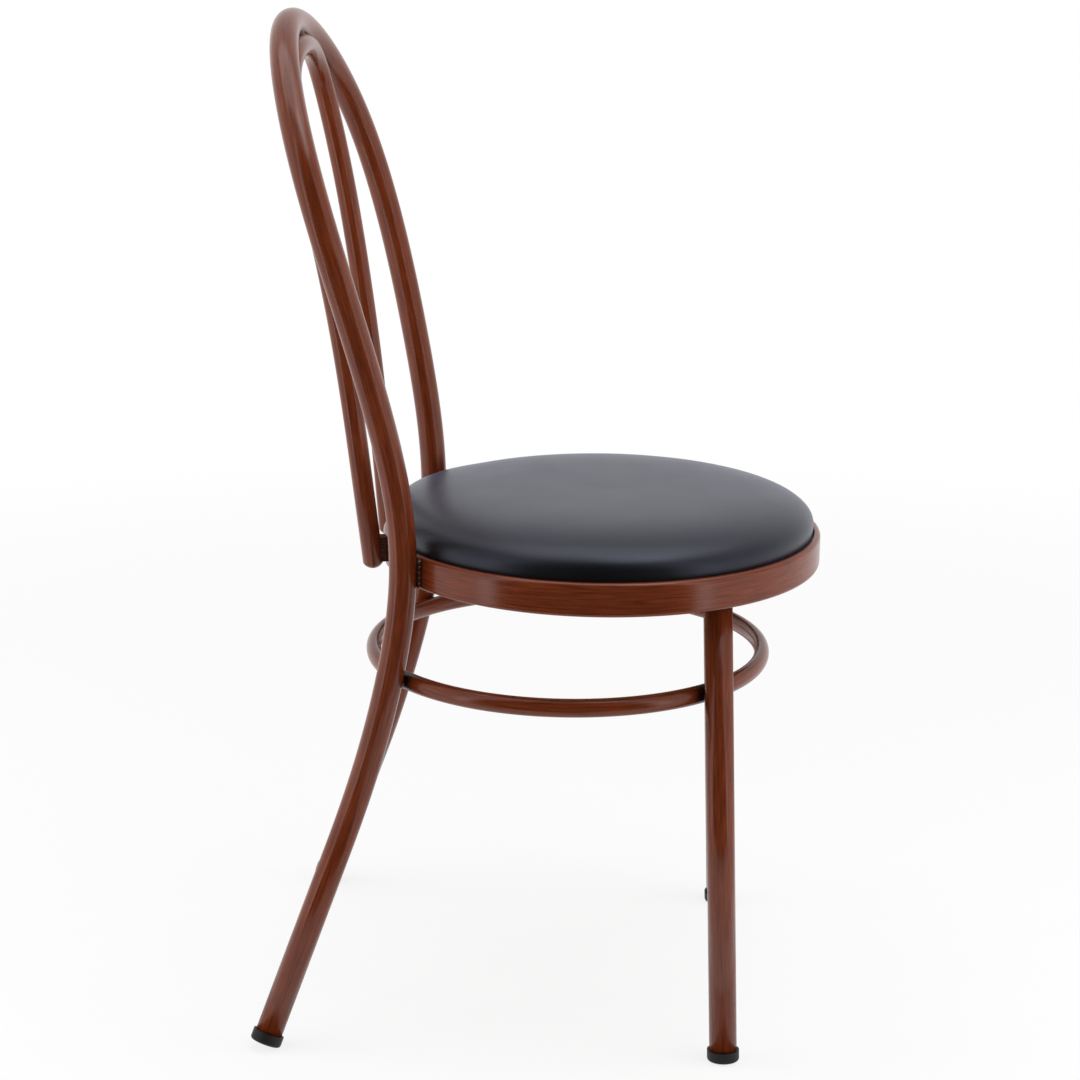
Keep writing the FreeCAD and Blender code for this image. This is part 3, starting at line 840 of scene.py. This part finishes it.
@dataclass
class SeatRing:
    """The seat band, the stretcher ring below it, the bars across the band and the weld beads."""

    seat_axis: float
    ring_setback: float = 0.0303
    band_radius: float = 0.2032
    ring_radius: float = 0.18344
    ring_level: float = 0.3346
    ring_tube: tuple[float, float] = (0.0070, 0.0085)
    ring_steps: int = 192
    oval_steps: int = 40
    ring_grain: float = 0.0020
    band_grain: float = 0.0019
    ring_welds: tuple[tuple[float, float], ...] = ((0.1410, -0.1078), (0.1280, 0.1807))
    upright: tuple[float, float] = (0.132, 0.170974)
    bead_levels: tuple[float, float] = (0.4254, 0.4532)
    bead_radius: float = 0.0027
    bead_reach: float = 0.0092
    bead_lift: float = 0.6
    bead_ripples: int = 6
    bead_swell: float = 0.16
    bead_end_power: int = 6
    bead_steps: int = 60
    bead_sides: int = 18

    def ring(self) -> None:
        """Turn the oval tube of the stretcher ring."""
        axis = (0.0, self.seat_axis + self.ring_setback)
        # Ring-to-leg welds, around which the ring paint gets painted shade and scorch.
        scorch_and_shade_welds = tuple((side.value * x, y + self.seat_axis, self.ring_level)
                      for side in Side for x, y in self.ring_welds)
        paint = GrainPaint("ring_paint", GrainRun.AROUND_AXIS, axis, self.ring_radius,
                           width=self.ring_grain, scorch_and_shade_places=scorch_and_shade_welds)
        turns = [2 * math.pi * i / self.oval_steps for i in range(self.oval_steps + 1)]
        wide, tall = self.ring_tube
        oval = [(self.ring_radius + wide * math.cos(turn), self.ring_level + tall * math.sin(turn))
                for turn in turns]
        mesh = turned(oval, axis, self.ring_steps)
        make_piece("stretcher_ring_tube", mesh, paint.material(), Slot.FRAME, "stretcher_ring")

    def bead(self, side: Side, shaded_weld_paint: bpy.types.Material) -> None:
        """Lay the rippled bead in the groove between the band and an upright, on its outer side.

        Args:
            side: The side of the chair.
            shaded_weld_paint: Finish of the bead.
        """
        outward = Vector((side.value * self.upright[0], self.upright[1])).normalized()
        along = Vector((side.value * outward.y, -side.value * outward.x))
        away = self.band_radius + self.bead_lift * self.bead_radius
        middle = outward * away + along * self.bead_reach
        low, high = self.bead_levels
        outline = []
        for share in (i / self.bead_steps for i in range(self.bead_steps + 1)):
            wave = math.sin(2 * math.pi * self.bead_ripples * share + side.value)
            ripple = 1.0 + self.bead_swell * wave
            body = math.sqrt(max(0.0, 1.0 - abs(2 * share - 1) ** self.bead_end_power))
            outline.append((self.bead_radius * body * ripple, low + (high - low) * share))
        mesh = turned(outline, (middle.x, middle.y + self.seat_axis), self.bead_sides)
        make_piece("upright_weld_bead_" + side.word, mesh, shaded_weld_paint, Slot.FRAME,
                   "upright_weld_" + side.word)

    def build(self, shaded_weld_paint: bpy.types.Material) -> None:
        """Dress the rings, bars and beads, each with the grain running along it.

        Args:
            shaded_weld_paint: Finish of the beads.
        """
        band = GrainPaint("band_paint", GrainRun.AROUND_AXIS, (0.0, self.seat_axis), self.band_radius,
                          width=self.band_grain)
        bars = GrainPaint("bar_paint", GrainRun.ACROSS_BAR)
        dress_nodes(band.material(), "seat_band")
        self.ring()
        dress_nodes(bars.material(), "front_seat_bar", "rear_seat_bar")
        for side in Side:
            dress_nodes(shaded_weld_paint, *(place + "_ring_weld_" + side.word for place in ("front", "rear")))
            self.bead(side, shaded_weld_paint)


@dataclass
class RoundSeat:
    """The padded seat: a crowned vinyl cushion, its turned-in edge, the board and the fasteners."""

    seat_axis: float
    radius: float = 0.1958
    board_top: float = 0.4435
    board_bottom: float = 0.4315
    band_top: float = 0.4538
    rim: tuple[float, float] = (0.1967, 0.4613)
    bulge: float = 0.0008
    bulge_level: float = 0.4575
    tuck_level: float = 0.4485
    tuck: tuple[float, float] = (0.0005, 0.002)
    dome_steps: int = 40
    dome_spread: float = 0.8
    turn_steps: int = 144
    crown_rise: float = 0.0295
    crown_power: float = 5.5
    rear_start: float = 0.110
    rear_lift: float = 0.0048
    turn_in: float = 0.032
    skin: float = 0.0012
    slack: float = 0.004
    voxel: float = 0.005
    pressure: float = 4.0
    last_frame: int = 20
    middle_reach: float = 0.03
    middle_depth: float = 0.01
    least_rise: float = 0.0005
    most_rise: float = 1.6
    settle: float = 0.12
    near_count: int = 16
    near_soften: float = 0.002

    @property
    def crown(self) -> float:
        """The level of the cushion's middle."""
        return self.rim[1] + self.crown_rise

    def outline(self) -> list[tuple[float, float]]:
        """Return the cushion's (radius, level) outline from the crown to the middle of its flat bottom."""
        reach, level = self.rim
        turns = [math.pi / 2 * i / self.dome_steps for i in range(self.dome_steps)]
        shares = [math.sin(turn) ** self.dome_spread for turn in turns]
        dome = [(reach * share, level + self.crown_rise * math.sqrt(1 - share**self.crown_power))
                for share in shares]
        side = [self.rim, (self.radius + self.bulge, self.bulge_level), (self.radius, self.band_top),
                (self.radius, self.tuck_level), (self.radius - self.tuck[0], self.board_top + self.skin),
                (self.radius - self.tuck[1], self.board_top)]
        return dome + side + [(0.0, self.board_top)]

    def fuller_rear(self, mesh: bmesh.types.BMesh) -> bmesh.types.BMesh:
        """Raise the cushion's rear, where it is sat on least.

        Args:
            mesh: The turned cushion.

        Returns:
            The same mesh.
        """
        for vert in mesh.verts:
            back = (vert.co.y - self.seat_axis - self.rear_start) / (self.radius - self.rear_start)
            height = (vert.co.z - self.band_top) / (self.crown - self.band_top)
            back, height = (min(1.0, max(0.0, share)) for share in (back, height))
            vert.co.z += self.rear_lift * back**2 * (3 - 2 * back) * math.sqrt(height)
        return mesh

    @staticmethod
    def places(mesh: bpy.types.Mesh) -> np.ndarray:
        """Return the places of a mesh's vertices, one in each row."""
        flat = np.empty(len(mesh.vertices) * 3)
        mesh.vertices.foreach_get("co", flat)
        return flat.reshape(-1, 3)

    def trial(self, piece: bpy.types.Object) -> bpy.types.Object:
        """Return an evenly meshed copy of the cushion, to be filled by the simulation."""
        remesh = piece.modifiers.new("even_mesh", "REMESH")
        remesh.mode = "VOXEL"
        remesh.voxel_size = self.voxel
        evaluated = piece.evaluated_get(bpy.context.evaluated_depsgraph_get())
        even = bpy.data.meshes.new_from_object(evaluated)
        piece.modifiers.clear()
        trial = bpy.data.objects.new("cushion_trial", even)
        bpy.context.scene.collection.objects.link(trial)
        return trial

    def filled(self, trial: bpy.types.Object) -> np.ndarray:
        """Fill a slack cover by a cloth simulation under pressure.

        Args:
            trial: The evenly meshed copy, which is left slack.

        Returns:
            The places of its vertices when it is full.
        """
        full = self.places(trial.data)
        lift = np.clip((full[:, 2] - self.band_top) / (self.crown - self.band_top), 0.0, 1.0)
        slack = full.copy()
        slack[:, 2] -= self.slack * lift
        trial.data.vertices.foreach_set("co", slack.ravel())
        trial.data.update()
        held = trial.vertex_groups.new(name="held")
        held.add([int(i) for i in np.flatnonzero(full[:, 2] < self.band_top)], 1.0, "REPLACE")
        cloth = trial.modifiers.new("cover", "CLOTH")
        cloth.settings.vertex_group_mass = "held"
        cloth.settings.use_pressure = True
        cloth.settings.uniform_pressure_force = self.pressure
        cloth.settings.effector_weights.gravity = 0.0
        cloth.collision_settings.use_collision = False
        for number in range(1, self.last_frame + 1):
            bpy.context.scene.frame_set(number)
        swollen = trial.evaluated_get(bpy.context.evaluated_depsgraph_get()).to_mesh()
        rise = self.places(swollen) - slack
        bpy.context.scene.frame_set(1)
        inner = np.hypot(full[:, 0], full[:, 1] - self.seat_axis) < self.middle_reach
        middle = inner & (full[:, 2] > self.crown - self.middle_depth)
        rise *= self.slack / max(float(rise[middle, 2].mean()), self.least_rise)
        size = np.linalg.norm(rise, axis=1, keepdims=True)
        return slack + rise * np.minimum(1.0, self.most_rise * self.slack / np.maximum(size, TINY))

    def swollen(self, piece: bpy.types.Object) -> None:
        """Lay the unevenness of a simulated filling on the cushion, as far as a tight cover shows it.

        Args:
            piece: The cushion, which holds its measured shape.
        """
        trial = self.trial(piece)
        full = self.places(trial.data)
        change = self.settle * (self.filled(trial) - full)
        tree = KDTree(len(full))
        for i, place in enumerate(full):
            tree.insert(place, i)
        tree.balance()
        for vert in piece.data.vertices:
            near = tree.find_n(vert.co, self.near_count)
            weights = np.array([1 / (distance + self.near_soften) for _, _, distance in near])
            shifts = change[[i for _, i, _ in near]]
            vert.co += Vector(weights @ shifts / weights.sum())
        even = trial.data
        bpy.data.objects.remove(trial)
        bpy.data.meshes.remove(even)
        LOG.info("%s: the filling moves it by up to %.2f mm", piece.name,
                 1000 * float(np.linalg.norm(change, axis=1).max()))

    def build(self) -> None:
        """Build the cushion and its turned-in edge, and dress the board and the fasteners."""
        vinyl = SeatVinyl().material()
        axis = (0.0, self.seat_axis)
        form = self.fuller_rear(turned(self.outline(), axis, self.turn_steps))
        cushion = make_piece("seat_cushion", form, vinyl, Slot.VINYL, "seat_cover", "seat_foam")
        self.swollen(cushion)
        round_off = cushion.modifiers.new("round_off", "SUBSURF")
        round_off.levels = round_off.render_levels = 1
        inner = self.radius - self.turn_in
        low, top = self.board_bottom - self.skin, self.board_top + self.skin
        corner = self.skin / 2
        edge = [(self.radius, top), (self.radius, low + corner), (self.radius - corner, low),
                (inner, low), (inner, self.board_bottom), (self.radius - self.skin, self.board_bottom),
                (self.radius - self.skin, top)]
        skirt = turned(edge + edge[:1], axis, self.turn_steps)
        make_piece("seat_cover_edge", skirt, vinyl, Slot.VINYL)
        dress_nodes(BarePlywood().material(), "seat_board")
        dress_nodes(PlainSteel().material(), "seat_screws", "seat_washers", "cover_staples")


@dataclass
class FootCaps:
    """The four rubber caps."""

    def build(self) -> None:
        """Dress the caps."""
        rubber = FootRubber().material()
        caps = (place + "_foot_" + side.word for place in ("front", "rear") for side in Side)
        dress_nodes(rubber, *caps)


@dataclass(frozen=True)
class SoftBox:
    """One soft lamp: where it hangs, where it points, its size, its light and whether gloss shows it."""

    name: str
    place: Place
    target: Place
    size: tuple[float, float]
    light: float
    in_gloss: bool


@dataclass
class Studio:
    """A white sweep under soft light, with a dark opening towards the camera, and the camera."""

    eye: Place = (-2.12602, -0.12020, 1.00821)
    right: Triple = (0.09963, -0.99502, -0.00286)
    up: Triple = (0.27781, 0.02505, 0.96031)
    lens: float = 78.137
    shift: tuple[float, float] = (0.08798, 0.04475)
    sensor: float = 36.0
    sight: float = 100.0
    floor_size: float = 200.0
    floor_grey: float = 0.95
    floor_glow: float = 0.80
    far_range: tuple[float, float] = (0.6, 0.6)
    shade_light: float = 0.38
    dim_start: float = 0.10
    dim_span: float = 0.25
    dim_share: float = 0.20
    opening_foot: Place = (-0.57, -0.04, 0.0)
    opening_top: Place = (-0.92, -0.04, 1.75)
    opening_width: float = 1.32
    opening_grey: float = 0.02
    strip_width: float = 0.25
    strip_light: float = 1.3
    boxes: tuple[SoftBox, ...] = (
        SoftBox("roof_lamp", (0.10, -0.05, 2.2), (0.10, -0.05, 0.0), (1.2, 2.4), 1.5, True),
        SoftBox("key_lamp", (-0.47, -0.51, 2.05), (0.0, 0.0, 0.6), (0.65, 0.65), 2.4, True),
        SoftBox("rear_side_lamp", (-0.2, 1.9, 0.8), (-0.1, 0.0, 0.6), (1.4, 1.6), 3.0, False),
        SoftBox("front_side_lamp", (-0.2, -1.9, 0.8), (-0.1, 0.0, 0.6), (1.4, 1.6), 3.0, False),
    )

    def camera(self) -> None:
        """Place the camera at the photograph's angle."""
        data = bpy.data.cameras.new("camera")
        data.sensor_width = self.sensor
        data.lens = self.lens
        data.shift_x, data.shift_y = self.shift
        data.clip_end = self.sight
        right, up = Vector(self.right).normalized(), Vector(self.up).normalized()
        turn = Matrix((right, up, right.cross(up))).transposed().to_4x4()
        camera = bpy.data.objects.new("camera", data)
        camera.matrix_world = Matrix.Translation(self.eye) @ turn
        bpy.context.scene.collection.objects.link(camera)
        bpy.context.scene.camera = camera

    @staticmethod
    def seen(recipe: Recipe) -> Signal:
        """Return 1 for rays from the camera, from gloss and through glass."""
        path = recipe.add("ShaderNodeLightPath", output="Is Camera Ray")
        return (path + path.other("Is Glossy Ray") + path.other("Is Transmission Ray")).limited()

    def sky(self) -> None:
        """Light the set evenly from a white sky, which gloss sees a little dimmer higher up."""
        world = bpy.data.worlds.new("studio")
        bpy.context.scene.world = world
        recipe = Recipe(world)
        way = recipe.add("ShaderNodeTexCoord", output="Generated")
        height = recipe.add("ShaderNodeSeparateXYZ", None, {"Vector": way}).other("Z")
        gloss = recipe.add("ShaderNodeLightPath", output="Is Glossy Ray")
        dimmer = gloss * height.stretched(self.dim_start, 1.0 / self.dim_span) * self.dim_share
        strength = self.seen(recipe) * (1.0 - self.shade_light) + self.shade_light - dimmer
        light = recipe.add("ShaderNodeBackground", None, {"Color": WHITE, "Strength": strength})
        recipe.add("ShaderNodeOutputWorld", None, {"Surface": light})

    def panel(self, name: str, matrix: Matrix, size: tuple[float, float]) -> bpy.types.Object:
        """Make a flat part of the set.

        Args:
            name: Its name.
            matrix: Where its middle is and how it is turned.
            size: Its width and height.

        Returns:
            The panel.
        """
        mesh = bmesh.new()
        stretch = Matrix.Diagonal((size[0] / 2, size[1] / 2, 1, 1))
        bmesh.ops.create_grid(mesh, x_segments=1, y_segments=1, size=1.0, matrix=matrix @ stretch)
        data = bpy.data.meshes.new(name)
        mesh.to_mesh(data)
        mesh.free()
        panel = bpy.data.objects.new(name, data)
        bpy.context.scene.collection.objects.link(panel)
        return panel

    def floor(self) -> None:
        """Lay the white floor, which keeps the chair's shadow."""
        floor = self.panel("floor", Matrix(), (self.floor_size, self.floor_size))
        material = bpy.data.materials.new("floor_paper")
        recipe = Recipe(material)
        grey = (self.floor_grey, self.floor_grey, self.floor_grey, 1.0)
        paper = recipe.add("ShaderNodeBsdfDiffuse", None, {"Color": grey})
        white = recipe.add("ShaderNodeEmission", None, {"Color": WHITE, "Strength": 1.0})
        reach = recipe.add("ShaderNodeVectorMath", {"operation": "LENGTH"}, {"Vector": recipe.place()},
                           "Value")
        far = reach.stretched(*self.far_range)
        share = self.seen(recipe) * (self.floor_glow + far * (1.0 - self.floor_glow))
        sockets = {"Fac": share, "Shader": paper, "Shader_001": white}
        mixed = recipe.add("ShaderNodeMixShader", None, sockets)
        recipe.add("ShaderNodeOutputMaterial", None, {"Surface": mixed})
        floor.data.materials.append(material)

    def opening(self) -> None:
        """Stand the dark opening of the tent on the camera's side, seen only in the chair's gloss."""
        foot, top = Vector(self.opening_foot), Vector(self.opening_top)
        rise = top - foot
        face = rise.cross((0, 1, 0)).normalized()
        turn = Matrix(((0, -1, 0), rise.normalized(), face)).transposed().to_4x4()
        place = Matrix.Translation((foot + top) / 2) @ turn
        panel = self.panel("tent_opening", place, (self.opening_width, rise.length))
        material = bpy.data.materials.new("tent_dark")
        recipe = Recipe(material)
        grey = (self.opening_grey, self.opening_grey, self.opening_grey, 1.0)
        dark = recipe.add("ShaderNodeEmission", None, {"Color": grey, "Strength": 1.0})
        recipe.add("ShaderNodeOutputMaterial", None, {"Surface": dark})
        panel.data.materials.append(material)
        panel.visible_camera = panel.visible_diffuse = panel.visible_shadow = False
        panel.visible_transmission = panel.visible_volume_scatter = False
        for side in Side:
            reach = side.value * (self.opening_width + self.strip_width) / 2
            spot = place @ Matrix.Translation((reach, 0, 0))
            size = (self.strip_width, rise.length)
            strip = self.lamp("strip_lamp_" + side.word, spot, size, self.strip_light)
            strip.visible_camera = False

    @staticmethod
    def lamp(name: str, matrix: Matrix, size: tuple[float, float], light: float) -> bpy.types.Object:
        """Hang a soft lamp.

        Args:
            name: Its name.
            matrix: Where it is and how it is turned; it shines down its own -Z.
            size: Its width and height.
            light: How bright its face is, where 1 is white.

        Returns:
            The lamp.
        """
        data = bpy.data.lights.new(name, "AREA")
        data.shape = "RECTANGLE"
        data.size, data.size_y = size
        data.energy = light * math.pi * size[0] * size[1]
        lamp = bpy.data.objects.new(name, data)
        lamp.matrix_world = matrix
        bpy.context.scene.collection.objects.link(lamp)
        return lamp

    def softboxes(self) -> None:
        """Hang the roof light, the key light in front of it and a soft light on each side."""
        for box in self.boxes:
            way = Vector(box.place) - Vector(box.target)
            turn = way.to_track_quat("Z", "Y").to_matrix().to_4x4()
            lamp = self.lamp(box.name, Matrix.Translation(box.place) @ turn, box.size, box.light)
            lamp.visible_camera = False
            lamp.visible_glossy = box.in_gloss

    def build(self) -> None:
        """Set the stage."""
        bpy.context.scene.view_settings.view_transform = "Standard"
        self.camera()
        self.sky()
        self.floor()
        self.opening()
        self.softboxes()


def main() -> None:
    """Build the chair piece by piece, then its studio."""
    logging.basicConfig(level=logging.INFO, format="%(name)s %(message)s")
    low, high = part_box("seat_band")
    seat_axis = (low.y + high.y) / 2
    tube_paint = GrainPaint("tube_paint", GrainRun.ALONG_TUBE).material()
    shaded_weld_paint = ShadedWeldPaint().material()
    BackFrame(seat_axis).build(tube_paint, shaded_weld_paint)
    FrontLegs(seat_axis).build(tube_paint)
    SeatRing(seat_axis).build(shaded_weld_paint)
    RoundSeat(seat_axis).build()
    FootCaps().build()
    Studio().build()


if __name__ == "__main__":
    main()
